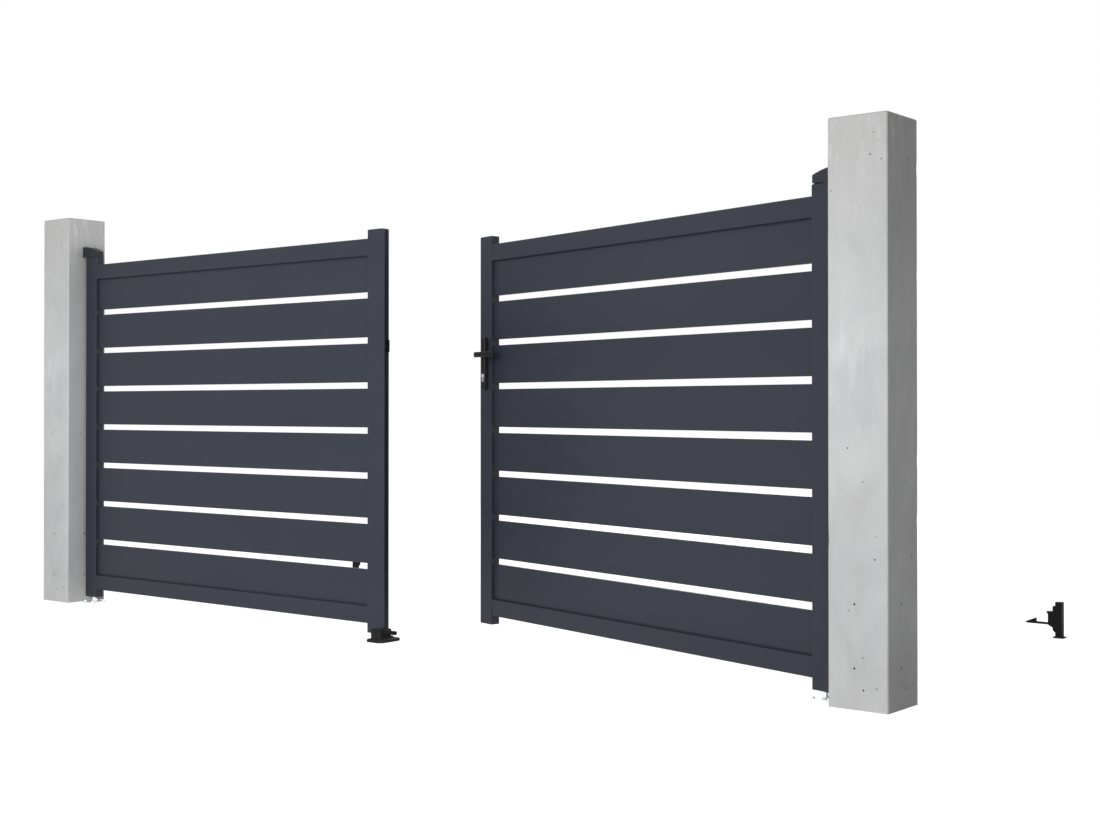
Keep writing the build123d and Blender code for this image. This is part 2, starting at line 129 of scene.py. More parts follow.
def new_finish(name):
    """A material with its shader and the piece's own coordinates, ready for its colours."""
    material = bpy.data.materials.new(name)
    material.use_nodes = True
    tree = material.node_tree
    return material, tree, tree.nodes["Principled BSDF"], add(tree, "TexCoord").outputs["Object"]


def bump(tree, shader, height, distance, strength=1.0):
    """The relief of a finish."""
    relief = add(tree, "Bump", {"Height": height, "Distance": distance, "Strength": strength})
    tree.links.new(relief.outputs[0], shader.inputs["Normal"])


ground_dust, given, put = effect("ground_dust", {"Reach": "Float", "Place": "Vector"}, {"Mask": "Float"})
spot = add(ground_dust, "NewGeometry").outputs["Position"]
above_ground = add(ground_dust, "SeparateXYZ", {0: spot}).outputs[2]
drift = add(ground_dust, "TexNoise", {"Vector": given["Place"], "Scale": 14.0, "Detail": 5.0}).outputs[0]
lift = calc(ground_dust, "ADD", calc(ground_dust, "DIVIDE", above_ground, given["Reach"]), drift)
ground_dust.links.new(fade(ground_dust, lift, 0.35, 1.35, 1.0, 0.0), put["Mask"])

# Painted shade: a mask that is high where ambient occlusion finds other surfaces near, in corners and
# between parts, used to darken the colour there.
painted_corner_shade, given, put = effect("painted_corner_shade", {"Reach": "Float"}, {"Mask": "Float"})
open_share = add(painted_corner_shade, "AmbientOcclusion", {"Distance": given["Reach"]}, samples=6).outputs["AO"]
painted_corner_shade.links.new(calc(painted_corner_shade, "SUBTRACT", 1.0, open_share), put["Mask"])

concrete, tree, shader, place = new_finish("cast_concrete")
drawn_up = add(tree, "Mapping", {0: place, 3: (1, 1, 0.6)}).outputs[0]
clouds = add(tree, "TexNoise", {
    "Vector": drawn_up, "Scale": 5.0, "Detail": 9.0, "Roughness": 0.62, "Distortion": 0.5}).outputs[0]
streaked = add(tree, "Mapping", {0: place, 3: (1, 1, 0.16)}).outputs[0]
streaks = add(tree, "TexNoise", {
    "Vector": streaked, "Scale": 40.0, "Detail": 6.0, "Roughness": 0.62, "Distortion": 0.7}).outputs[0]
patches = add(tree, "TexNoise", {
    "Vector": drawn_up, "Scale": 3.4, "Detail": 6.0, "Roughness": 0.62, "Distortion": 0.8}).outputs[0]
skin = calc(tree, "MULTIPLY", fade(tree, streaks, 0.5, 0.72), fade(tree, patches, 0.50, 0.57, 0.0, 0.62))
grey = fade(tree, patches, 0.45, 0.34, 0.0, 0.32)
sand = add(tree, "TexNoise", {"Vector": place, "Scale": 420.0, "Detail": 3.0}).outputs[0]
facing = add(tree, "SeparateXYZ", {0: add(tree, "NewGeometry").outputs["Normal"]}).outputs[0]
sideways = calc(tree, "GREATER_THAN", calc(tree, "ABSOLUTE", facing), 0.7)
axes = add(tree, "SeparateXYZ", {0: place})
across = add(tree, "Mix", {0: sideways, 2: axes.outputs[0], 3: axes.outputs[1]}).outputs[0]
on_face = add(tree, "CombineXYZ", {0: across, 1: axes.outputs[2]}).outputs[0]
holes = 0.0
for hole_across, hole_up, hole_radius in air_holes:
    ends = {0: on_face, 1: (hole_across, hole_up, 0)}
    away = add(tree, "VectorMath", ends, operation="DISTANCE").outputs[1]
    hole = fade(tree, away, hole_radius * 0.85, hole_radius * 1.1, 1.0, 0.0)
    holes = calc(tree, "MAXIMUM", holes, hole)
bubbles = add(tree, "TexVoronoi", {"Vector": place, "Scale": 26.0}).outputs["Distance"]
holes = calc(tree, "MAXIMUM", holes, fade(tree, bubbles, 0.018, 0.034, 0.8, 0.0))
# The head of each post is darker towards the top, in the cement grey, with patches reaching lower.
head = fade(tree, calc(tree, "ADD", axes.outputs[2], patches), 1.70, 2.30, 0.0, 0.62)
colour = tint(tree, fade(tree, clouds, 0.34, 0.66), cement_shade, cement_light)
colour = tint(tree, calc(tree, "MAXIMUM", grey, head), colour, cement_grey)
colour = tint(tree, skin, colour, cement_skin)
colour = tint(tree, fade(tree, sand, 0.35, 0.75, 0.0, 0.12), colour, cement_shade)
# Painted shade: the side faces of the posts are darkened where the leaves and fittings stand near, less so
# close to the ground.
painted_shade_amount = add(tree, "Group", {"Reach": 0.3}, node_tree=painted_corner_shade).outputs["Mask"]
off_ground = fade(tree, axes.outputs[2], 0.0, 0.25, 0.2, 1.0)
painted_shade_amount = calc(tree, "MULTIPLY", calc(tree, "MULTIPLY", painted_shade_amount, sideways), off_ground)
colour = tint(tree, painted_shade_amount, colour, post_shade_paint)
stain = add(tree, "Group", {"Reach": 0.22, "Place": place}, node_tree=ground_dust).outputs["Mask"]
colour = tint(tree, calc(tree, "MULTIPLY", stain, 0.2), colour, foot_stain)
# Painted shade: the air holes are coloured near-black for the shade inside them.
colour = tint(tree, holes, colour, hole_shade_paint)
tree.links.new(colour, shader.inputs["Base Color"])
tree.links.new(fade(tree, clouds, 0.3, 0.7, 0.9, 0.72), shader.inputs["Roughness"])
shader.inputs["Specular IOR Level"].default_value = 0.25
relief = calc(tree, "SUBTRACT", calc(tree, "MULTIPLY", sand, 0.25), holes)
bump(tree, shader, relief, 0.0012, 0.6)


def to_object(mesh, name, material, body, origin=(0, 0, 0), sharp_angle=0.4):
    """A finished mesh as a named piece that rides on a body. Edges sharper than the angle stay crisp."""
    bmesh.ops.recalc_face_normals(mesh, faces=mesh.faces)
    for face in mesh.faces:
        face.smooth = True
    for edge in mesh.edges:
        edge.smooth = edge.calc_face_angle(0.0) < sharp_angle
    data = bpy.data.meshes.new(name)
    mesh.to_mesh(data)
    mesh.free()
    data.materials.append(material)
    piece = bpy.data.objects.new(name, data)
    piece.location = origin
    bpy.context.scene.collection.objects.link(piece)
    bpy.context.view_layer.update()
    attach(piece, body)
    return piece


def bridge(mesh, lower, upper):
    """Faces between two rings of as many points."""
    for index in range(len(lower)):
        after = (index + 1) % len(lower)
        mesh.faces.new((lower[index], lower[after], upper[after], upper[index]))


def loft(mesh, rings):
    """A solid through rings of as many points, closed at both ends."""
    for lower, upper in zip(rings, rings[1:]):
        bridge(mesh, lower, upper)
    mesh.faces.new(rings[0])
    mesh.faces.new(rings[-1])


for side in ("left", "right"):
    low, high = (Vector(corner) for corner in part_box(f"{side}_post"))
    middle = (low + high) / 2
    half = (high.x - low.x) / 2
    height = high.z - low.z
    straight = half - post_arris
    mesh = bmesh.new()
    rings = []
    for row in range(post_rows + 2):
        top = row == post_rows + 1
        level = height if top else (height - post_arris) * row / post_rows
        inset = post_arris if top else 0.0
        ring = []
        for quarter in range(4):
            turn = Matrix.Rotation(quarter * math.pi / 2, 3, "Z")
            for column in range(post_columns + 1):
                reach = straight * (2 * column / post_columns - 1)
                point = turn @ Vector((reach * (1 - inset / straight), -half + inset, 0))
                spot = Vector((point.x + middle.x, point.y, level))
                push = post_waviness * (noise.noise(spot * 7) + 1) / 2
                if column in (0, post_columns):
                    chip = noise.noise(Vector((spot.x * 9, spot.y * 9, level * 26)))
                    push += arris_chip_depth * max(0.0, chip - arris_chip_level)
                point -= point.normalized() * push
                ring.append(mesh.verts.new((point.x, point.y, level)))
        rings.append(ring)
    loft(mesh, rings)
    foot = (middle.x, middle.y, low.z)
    post = to_object(mesh, f"{side}_concrete_post", concrete, "posts", foot)
    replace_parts(post, f"{side}_post")


# Floor plates and pivot studs: zinc-plated steel. Each plate is held to the ground by four anchor
# bolts with washers, and its stud carries the leaf, with a hexagon to set the leaf's height.
bolt_flat = 0.013
bolt_head = 0.0055
bolt_chamfer = 0.0012
washer_radius = 0.0085
washer_thickness = 0.0016
floor_bolt_spacing = 0.058
floor_plate_edge = 0.0006
stud_edge = 0.0004
round_steps = 24
zinc_bright = (0.84, 0.85, 0.87, 1)
zinc_dull = (0.68, 0.695, 0.715, 1)
dust_colour = (0.42, 0.39, 0.34, 1)

edge_wear, given, put = effect("edge_wear", {"Width": "Float", "Place": "Vector"}, {"Mask": "Float"})
softened = add(edge_wear, "Bevel", {"Radius": given["Width"]}, samples=4).outputs[0]
true_normal = add(edge_wear, "NewGeometry").outputs["Normal"]
bend = add(edge_wear, "VectorMath", {0: softened, 1: true_normal}, operation="DOT_PRODUCT").outputs[1]
rubbed = add(edge_wear, "TexNoise", {"Vector": given["Place"], "Scale": 60.0, "Detail": 4.0}).outputs[0]
turned = fade(edge_wear, bend, 0.75, 0.99, 1.0, 0.0)
worn = calc(edge_wear, "MULTIPLY", turned, fade(edge_wear, rubbed, 0.35, 0.65))
edge_wear.links.new(worn, put["Mask"])

zinc, tree, shader, place = new_finish("zinc_plate")
spangle = add(tree, "TexVoronoi", {"Vector": place, "Scale": 260.0}).outputs["Color"]
spangle = add(tree, "SeparateColor", {0: spangle}).outputs[0]
rolled = add(tree, "Mapping", {0: place, 3: (1, 14, 1)}).outputs[0]
lines = add(tree, "TexNoise", {"Vector": rolled, "Scale": 90.0, "Detail": 3.0}).outputs[0]
colour = tint(tree, calc(tree, "MULTIPLY", spangle, lines), zinc_bright, zinc_dull)
dust = add(tree, "Group", {"Reach": 0.02, "Place": place}, node_tree=ground_dust).outputs["Mask"]
colour = tint(tree, calc(tree, "MULTIPLY", dust, 0.14), colour, dust_colour)
tree.links.new(colour, shader.inputs["Base Color"])
shader.inputs["Metallic"].default_value = 0.8
tree.links.new(fade(tree, lines, 0.3, 0.7, 0.36, 0.54), shader.inputs["Roughness"])
bump(tree, shader, lines, 0.0002, 0.25)


def circle(mesh, centre, first, second, radius, steps):
    """Points on a circle about a centre, spanned by two directions."""
    turns = [2 * math.pi * step / steps for step in range(steps)]
    return [mesh.verts.new(centre + (first * math.cos(a) + second * math.sin(a)) * radius) for a in turns]


def hexagon_bolt(mesh, foot, upward, flat, head):
    """A washer and a hexagon head, its corners turned off, standing on a point."""
    first, second, upright = upward.to_track_quat("Z", "Y").to_matrix().col
    corner = flat / math.sqrt(3)
    washer = ((washer_radius, 0), (washer_radius, washer_thickness), (flat * 0.56, washer_thickness))
    hexagon = ((corner, washer_thickness), (corner, head - bolt_chamfer), (flat * 0.47, head))
    for steps, profile in ((round_steps, washer), (6, hexagon)):
        rings = []
        for radius, level in profile:
            rings.append(circle(mesh, foot + upright * level, first, second, radius, steps))
        loft(mesh, rings)


def soften(name, material, edge_radius, segments=2):
    """A solid from the frame in its finish, with its hard edges broken by a small round."""
    piece = cad[name]
    piece.data.materials.clear()
    piece.data.materials.append(material)
    weld = piece.modifiers.new("joined", "WELD")
    weld.merge_threshold = 0.00002
    flat_faces = piece.modifiers.new("flat_faces", "DECIMATE")
    flat_faces.decimate_type = "DISSOLVE"
    flat_faces.angle_limit = math.radians(0.5)
    rounding = piece.modifiers.new("rounding", "BEVEL")
    rounding.width = edge_radius
    rounding.segments = segments
    rounding.limit_method = "ANGLE"
    rounding.angle_limit = math.radians(35)
    shading = piece.modifiers.new("shading", "WEIGHTED_NORMAL")
    shading.keep_sharp = True
    return piece


for side in ("left", "right"):
    soften(f"{side}_floor_plate", zinc, floor_plate_edge)
    soften(f"{side}_pivot_stud", zinc, stud_edge)
    low, high = (Vector(corner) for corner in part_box(f"{side}_floor_plate"))
    mesh = bmesh.new()
    for across in (-0.5, 0.5):
        for along in (-0.5, 0.5):
            offset = Vector((across, along, 0)) * floor_bolt_spacing
            foot = Vector(((low.x + high.x) / 2, (low.y + high.y) / 2, high.z)) + offset
            hexagon_bolt(mesh, foot, Vector((0, 0, 1)), bolt_flat, bolt_head)
    to_object(mesh, f"{side}_floor_plate_bolts", zinc, "posts")


# Leaf frames: hollow aluminium profiles with a satin anthracite powder coat, two stiles and two
# rails a leaf. The coat has a fine orange peel, and its edges are a touch paler where they rub.
coat_colour = (0.0315, 0.0365, 0.0503, 1)
coat_deep = (0.0268, 0.0312, 0.0443, 1)
coat_rubbed = (0.075, 0.08, 0.098, 1)
coat_dust = (0.11, 0.105, 0.10, 1)
# Colour of the painted shade in the corners of the coated finishes.
coat_shade_paint = (0.006, 0.006, 0.0065, 1)

powder_grain, given, put = effect(
    "powder_grain", {"Place": "Vector", "Scale": "Float"}, {"Height": "Float", "Tone": "Float"})
fine = {"Vector": given["Place"], "Scale": given["Scale"]}
peel = add(powder_grain, "TexNoise", {**fine, "Detail": 2.0}).outputs[0]
speck = add(powder_grain, "TexVoronoi", fine).outputs["Distance"]
speck = calc(powder_grain, "MULTIPLY", speck, 0.4)
powder_grain.links.new(calc(powder_grain, "ADD", peel, speck), put["Height"])
bands = add(powder_grain, "Mapping", {0: given["Place"], 3: (0.5, 0.5, 1.6)}).outputs[0]
tone = add(powder_grain, "TexNoise", {"Vector": bands, "Scale": 2.4, "Detail": 4.0}).outputs[0]
powder_grain.links.new(tone, put["Tone"])


def coated(name, colour_main, colour_deep, colour_rubbed, rough, sheen, grain_scale, grain_depth):
    """A painted or moulded finish: grain, broad tone, rubbed edges, painted shade in corners and a little
    dust at the foot.
    """
    material, tree, shader, place = new_finish(name)
    grain = add(tree, "Group", {"Place": place, "Scale": grain_scale}, node_tree=powder_grain)
    tone = fade(tree, grain.outputs["Tone"], 0.32, 0.68)
    colour = tint(tree, tone, colour_deep, colour_main)
    worn = add(tree, "Group", {"Width": 0.0016, "Place": place}, node_tree=edge_wear).outputs["Mask"]
    colour = tint(tree, calc(tree, "MULTIPLY", worn, 0.6), colour, colour_rubbed)
    # Painted shade: the colour darkens towards black in corners and where other parts stand near.
    painted_shade_amount = add(tree, "Group", {"Reach": 0.1}, node_tree=painted_corner_shade).outputs["Mask"]
    colour = tint(tree, calc(tree, "MULTIPLY", painted_shade_amount, 0.5), colour, coat_shade_paint)
    dust = add(tree, "Group", {"Reach": 0.09, "Place": place}, node_tree=ground_dust).outputs["Mask"]
    colour = tint(tree, calc(tree, "MULTIPLY", dust, 0.22), colour, coat_dust)
    tree.links.new(colour, shader.inputs["Base Color"])
    gloss = fade(tree, grain.outputs["Tone"], 0.3, 0.7, rough - 0.05, rough + 0.05)
    tree.links.new(calc(tree, "ADD", gloss, calc(tree, "MULTIPLY", dust, 0.2)), shader.inputs["Roughness"])
    shader.inputs["Specular IOR Level"].default_value = sheen
    bump(tree, shader, grain.outputs["Height"], grain_depth, 0.5)
    return material


powder_coat = coated(
    "anthracite_powder_coat", coat_colour, coat_deep, coat_rubbed,
    rough=0.46, sheen=0.2, grain_scale=900.0, grain_depth=0.00006)


def finish_solid(name, material):
    """A solid from the frame whose form is right as it is, in its finish."""
    cad[name].data.materials.clear()
    cad[name].data.materials.append(material)


for side in ("left", "right"):
    for part in ("hinge_stile", "lock_stile", "top_rail", "bottom_rail"):
        finish_solid(f"{side}_{part}", powder_coat)


# Boards: wide hollow aluminium extrusions between the stiles, in the frame's coat. The top and the
# bottom board have a tongue in the rail's slot, which leaves a dark shadow gap along the rail.
for side in ("left", "right"):
    finish_solid(f"{side}_boards", powder_coat)


# Caps, bushes, slip pads and hinge covers: moulded plastic in a grey close to the coat. Caps and
# bushes are pushed into the ends of the stiles, a pad lies on each top bush, and a cover is
# clipped over the zinc hinge arm on each post.
moulded_grey = (0.030, 0.032, 0.040, 1)
moulded_deep = (0.024, 0.026, 0.032, 1)
moulded_rubbed = (0.07, 0.072, 0.08, 1)
cap_edge = 0.0008
bush_edge = 0.0006
cover_edge = 0.0012
hinge_edge = 0.0006
moulded = coated(
    "moulded_grey_plastic", moulded_grey, moulded_deep, moulded_rubbed,
    rough=0.5, sheen=0.2, grain_scale=1500.0, grain_depth=0.00005)
pad_thickness = 0.0026
pad_inset = 0.0012
pad_squareness = 0.15
pad_hole = 0.0095
pad_steps = 40
bush_rim_band = 0.001


def rounded(angle, power):
    """The two coordinates of a circle that is pushed out towards a square."""
    across = math.copysign(abs(math.cos(angle)) ** power, math.cos(angle))
    upward = math.copysign(abs(math.sin(angle)) ** power, math.sin(angle))
    return across, upward


def bush_pad(name, body, centre, along, half_length, half_width):
    """The slip pad on a top bush: a thin plate with rounded corners, holed for the hinge pin."""
    aside = Vector((0, 0, 1)).cross(along)
    mesh = bmesh.new()
    levels = [centre, centre + Vector((0, 0, pad_thickness))]
    holes = [circle(mesh, level, along, aside, pad_hole, pad_steps) for level in levels]
    rims = []
    for level in levels:
        rim = []
        for step in range(pad_steps):
            reach, spread = rounded(2 * math.pi * step / pad_steps, pad_squareness)
            rim.append(mesh.verts.new(level + along * reach * half_length + aside * spread * half_width))
        rims.append(rim)
    bridge(mesh, holes[0], rims[0])
    bridge(mesh, *rims)
    bridge(mesh, rims[1], holes[1])
    bridge(mesh, *reversed(holes))
    to_object(mesh, name, moulded, body)


for side in ("left", "right"):
    hinge_axis = Vector(joints[f"{side}_leaf_swing"]["pos_m"])
    bush_points = [Vector(vertex.co) for vertex in cad[f"{side}_top_bush"].data.vertices]
    bush_top = max(point.z for point in bush_points)
    rim = [point - hinge_axis for point in bush_points if point.z > bush_top - bush_rim_band]
    corner = max(rim, key=lambda point: point.xy.length)
    lock_stile = [Vector(vertex.co) for vertex in cad[f"{side}_lock_stile"].data.vertices]
    along = sum(lock_stile, Vector()) / len(lock_stile) - hinge_axis
    along.z = 0
    along.normalize()
    half_length = abs(corner.dot(along)) - pad_inset
    half_width = abs(corner.dot(along.cross(Vector((0, 0, 1))))) - pad_inset
    pad_foot = Vector((hinge_axis.x, hinge_axis.y, bush_top))
    bush_pad(f"{side}_bush_pad", f"{side}_leaf", pad_foot, along, half_length, half_width)
    soften(f"{side}_stile_caps", moulded, cap_edge)
    finish_solid(f"{side}_top_bush", moulded)
    soften(f"{side}_bottom_bush", moulded, bush_edge)
    soften(f"{side}_hinge_cover", moulded, cover_edge)
    soften(f"{side}_top_hinge", zinc, hinge_edge)


# Strike and lock case: a black plate on the left leaf's edge, and on the right leaf's edge a steel
# forend with the latch and the bolt in it. Each is held by two cross-head screws.
screw_head = 0.004
screw_dome = 0.0008
cross_waist = 0.45
cross_depth = 1.6
black_coat = (0.0098, 0.0098, 0.0100, 1)
black_deep = (0.0075, 0.0075, 0.0078, 1)
black_rubbed = (0.045, 0.045, 0.047, 1)
steel_bright = (0.56, 0.56, 0.55, 1)
steel_dull = (0.40, 0.40, 0.40, 1)
strike_screw_spacing = 0.036
forend_screw_spacing = 0.215
latch_size = Vector((0.012, 0.024))
latch_above_lever = 0.026
bolt_size = Vector((0.011, 0.032))
bolt_below_lever = 0.075
tongue_proud = 0.0004
strike_edge = 0.0008

black_paint = coated(
    "black_fittings", black_coat, black_deep, black_rubbed,
    rough=0.62, sheen=0.10, grain_scale=1100.0, grain_depth=0.00005)

steel, tree, shader, place = new_finish("brushed_lock_steel")
brushed = add(tree, "Mapping", {0: place, 3: (30, 30, 1)}).outputs[0]
hairlines = add(tree, "TexNoise", {"Vector": brushed, "Scale": 60.0, "Detail": 3.0}).outputs[0]
tree.links.new(tint(tree, hairlines, steel_dull, steel_bright), shader.inputs["Base Color"])
shader.inputs["Metallic"].default_value = 1.0
tree.links.new(fade(tree, hairlines, 0.3, 0.7, 0.28, 0.42), shader.inputs["Roughness"])
bump(tree, shader, hairlines, 0.0001, 0.3)


def screw(mesh, centre, outward, radius, dome):
    """A low domed screw head with a cross cut into it."""
    first, second, upright = outward.to_track_quat("Z", "Y").to_matrix().col
    profile = ((1.0, -dome), (1.0, 0.0), (0.86, dome * 0.6), (0.5, dome), (0.42, dome))
    rings = [
        circle(mesh, centre + upright * level, first, second, radius * share, round_steps)
        for share, level in profile]
    for step, vert in enumerate(rings[-1]):
        if step % 6 in (2, 3, 4):
            middle = centre + upright * dome
            vert.co = middle + (vert.co - middle) * cross_waist
    rings.append([mesh.verts.new(vert.co - outward * dome * cross_depth) for vert in rings[-1]])
    loft(mesh, rings)


soften("strike_plate", black_paint, strike_edge)
low, high = (Vector(corner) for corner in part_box("strike_plate"))
mesh = bmesh.new()
for upward in (-0.5, 0.5):
    head = Vector((high.x, (low.y + high.y) / 2, (low.z + high.z) / 2 + upward * strike_screw_spacing))
    screw(mesh, head, Vector((1, 0, 0)), screw_head, screw_dome)
to_object(mesh, "strike_screws", black_paint, "left_leaf")

handle = joints["handle_turn"]
lever_pivot = Vector(handle["pos_m"])
leaf_back = Vector(handle["axis"])
to_hinge = leaf_back.cross(Vector((0, 0, 1)))
up = Vector((0, 0, 1))
finish_solid("mortise_lock", steel)
stile_corners = [Vector(vertex.co) for vertex in cad["mortise_lock"].data.vertices]
edge_distance = max((corner - lever_pivot).dot(-to_hinge) for corner in stile_corners)
forend_levels = [corner.z for corner in stile_corners]
forend_face = lever_pivot - to_hinge * edge_distance
forend_face.z = (min(forend_levels) + max(forend_levels)) / 2


def tongue(mesh, centre, outward, size, proud):
    """The end of a latch or a bolt in its hole: a flat tongue with broken edges."""
    wide = outward.cross(up) * size.x / 2
    tall = up * size.y / 2
    rings = []
    for share, level in ((1.0, -proud), (1.0, proud * 0.5), (0.9, proud)):
        base = centre + outward * level
        corners = (-wide - tall, wide - tall, wide + tall, tall - wide)
        rings.append([mesh.verts.new(base + corner * share) for corner in corners])
    loft(mesh, rings)


mesh = bmesh.new()
for upward in (-0.5, 0.5):
    screw(mesh, forend_face + up * upward * forend_screw_spacing, -to_hinge, screw_head, screw_dome / 2)
latch_place = lever_pivot - to_hinge * edge_distance + up * latch_above_lever
tongue(mesh, latch_place, -to_hinge, latch_size, tongue_proud)
tongue(mesh, latch_place - up * (latch_above_lever + bolt_below_lever), -to_hinge, bolt_size, tongue_proud)
to_object(mesh, "forend_tongues_and_screws", steel, "right_leaf")


# Handle set: a narrow plate on each face of the lock stile, a lever in front and behind on one
# square spindle, and a nickel key cylinder. The plates and levers are castings in dark paint,
# and two screws from the back hold the plates to each other.
plate_screw_spacing = 0.18
plug_radius = 0.0062
plug_proud = 0.0005
plug_steps = 32
slot_depth = 0.004
slot_squareness = 1.6
handle_plate_edge = 0.001
cylinder_edge = 0.0005
key_slot = Vector((0.0016, 0.0085))
neck_radius = 0.0085
neck_sunk = 0.002
lever_steps = 28
grip_squareness = 0.5
grip_height = 0.022
grip_depth = 0.013
grip_reach = 0.034
grip_length = 0.135
grip_overhang = 0.010
grip_round = 0.0035
grip_end_steps = 5
nickel_bright = (0.97, 0.97, 0.96, 1)
nickel_dull = (0.86, 0.86, 0.85, 1)
handle_coat = (0.0140, 0.0145, 0.0155, 1)
handle_deep = (0.0115, 0.0119, 0.0128, 1)
handle_rubbed = (0.050, 0.051, 0.055, 1)

handle_paint = coated(
    "dark_handle_coat", handle_coat, handle_deep, handle_rubbed,
    rough=0.52, sheen=0.15, grain_scale=1100.0, grain_depth=0.00005)

nickel, tree, shader, place = new_finish("nickel_key_cylinder")
turned = add(tree, "TexNoise", {"Vector": place, "Scale": 700.0, "Detail": 3.0}).outputs[0]
worn = add(tree, "Group", {"Width": 0.001, "Place": place}, node_tree=edge_wear).outputs["Mask"]
colour = tint(tree, calc(tree, "MULTIPLY", turned, 0.6), nickel_bright, nickel_dull)
tree.links.new(colour, shader.inputs["Base Color"])
shader.inputs["Metallic"].default_value = 1.0
matt = fade(tree, calc(tree, "SUBTRACT", turned, worn), 0.0, 0.8, 0.26, 0.42)
tree.links.new(matt, shader.inputs["Roughness"])
bump(tree, shader, turned, 0.00005, 0.3)

for name in ("front_handle_plate", "back_handle_plate"):
    soften(name, handle_paint, handle_plate_edge)
soften("lock_cylinder", nickel, cylinder_edge)

cylinder_points = [Vector(vertex.co) for vertex in cad["lock_cylinder"].data.vertices]
cylinder_end = max((point - lever_pivot).dot(leaf_back) for point in cylinder_points)
plug_level = max(point.z for point in cylinder_points) - neck_radius
plate_points = [Vector(vertex.co) for vertex in cad["back_handle_plate"].data.vertices]
plate_face = max((point - lever_pivot).dot(leaf_back) for point in plate_points)
plate_middle = (max(point.z for point in plate_points) + min(point.z for point in plate_points)) / 2


def key_plug(mesh, centre, outward):
    """The part of a cylinder that the key turns: a low disc with an upright slot sunk in it."""
    wide = outward.cross(up)
    profile = ((1.0, -plug_proud), (1.0, plug_proud * 0.6), (0.93, plug_proud))
    rim = [
        circle(mesh, centre + outward * level, wide, up, plug_radius * share, plug_steps)
        for share, level in profile]
    slot_ring = []
    for step in range(plug_steps):
        angle = 2 * math.pi * step / plug_steps
        flank = max(-1.0, min(1.0, slot_squareness * math.cos(angle))) * key_slot.x / 2
        rise = max(-1.0, min(1.0, slot_squareness * math.sin(angle))) * key_slot.y / 2
        slot_ring.append(mesh.verts.new(centre + wide * flank + up * rise + outward * plug_proud))
    rim.append(slot_ring)
    rim.append([mesh.verts.new(vert.co - outward * slot_depth) for vert in slot_ring])
    for lower, upper in zip(rim, rim[1:]):
        bridge(mesh, lower, upper)
    mesh.faces.new(rim[-1])


mesh = bmesh.new()
for outward in (leaf_back, -leaf_back):
    plug_centre = lever_pivot + outward * cylinder_end
    plug_centre.z = plug_level
    key_plug(mesh, plug_centre, outward)
to_object(mesh, "key_plugs", nickel, "right_leaf")

mesh = bmesh.new()
for upward in (-0.5, 0.5):
    head = lever_pivot + leaf_back * plate_face
    head.z = plate_middle + upward * plate_screw_spacing
    screw(mesh, head, leaf_back, screw_head, screw_dome)
to_object(mesh, "back_plate_screws", handle_paint, "right_leaf")


def lever_grip(name, outward):
    """A lever: a round neck out of the plate, and a straight flat grip with softly squared ends."""
    root = lever_pivot + outward * plate_face
    mesh = bmesh.new()
    profile = ((-neck_sunk, 1.0), (grip_reach * 0.4, 0.94), (grip_reach, 1.0))
    neck = [
        circle(mesh, root + outward * reach, to_hinge, up, neck_radius * share, lever_steps)
        for reach, share in profile]
    middle = root + outward * grip_reach + to_hinge * (grip_length / 2 - grip_overhang)
    stations = []
    for step in range(grip_end_steps + 1):
        angle = math.pi / 2 * step / grip_end_steps
        along = grip_length / 2 - grip_round + grip_round * math.sin(angle)
        stations.append((along, grip_round * (1 - math.cos(angle))))
    stations = [(-along, inset) for along, inset in reversed(stations)] + stations
    grip = []
    for along, inset in stations:
        loop = []
        for step in range(lever_steps):
            flank, rise = rounded(2 * math.pi * step / lever_steps, grip_squareness)
            offset = up * rise * (grip_height / 2 - inset) + outward * flank * (grip_depth / 2 - inset)
            loop.append(mesh.verts.new(middle + to_hinge * along + offset))
        grip.append(loop)
    loft(mesh, neck)
    loft(mesh, grip)
    return to_object(mesh, name, handle_paint, "handle", sharp_angle=0.9)


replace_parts(lever_grip("front_lever_grip", -leaf_back), "front_lever")
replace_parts(lever_grip("back_lever_grip", leaf_back), "back_lever")


# Centre stop: a cast-iron foot, painted black, bolted to the ground under the meeting stiles. A
# rubber sleeve on its arm takes the knock of the right leaf as it shuts.
stop_foot_height = 0.010
stop_foot_size = Vector((0.090, 0.121))
stop_bolt_inset = 0.016
stop_edge = 0.0012
stop_lip_setback = 0.0295
stop_lip_depth = 0.016
stop_arm_height = 0.013
sleeve_length = 0.073
sleeve_wall = 0.0006
sleeve_hem = 0.001
sleeve_tip = 0.0004
sleeve_tip_inset = 0.002
sleeve_steps = 28
sleeve_squareness = 0.35
rubber_black = (0.004, 0.004, 0.0042, 1)
rubber_grey = (0.009, 0.009, 0.0094, 1)
soften("centre_stop", black_paint, stop_edge)
low, high = (Vector(corner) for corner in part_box("centre_stop"))
mesh = bmesh.new()
for along in (stop_bolt_inset, stop_foot_size.y - stop_bolt_inset):
    foot = Vector((low.x + stop_foot_size.x / 2, low.y + along, stop_foot_height))
    hexagon_bolt(mesh, foot, up, bolt_flat, bolt_head)
to_object(mesh, "centre_stop_bolts", black_paint, "posts")

rubber, tree, shader, place = new_finish("black_rubber")
scuffs = add(tree, "TexNoise", {"Vector": place, "Scale": 180.0, "Detail": 5.0}).outputs[0]
colour = tint(tree, fade(tree, scuffs, 0.45, 0.8), rubber_black, rubber_grey)
tree.links.new(colour, shader.inputs["Base Color"])
tree.links.new(fade(tree, scuffs, 0.3, 0.7, 0.82, 0.66), shader.inputs["Roughness"])
shader.inputs["Specular IOR Level"].default_value = 0.12
bump(tree, shader, scuffs, 0.0002, 0.5)

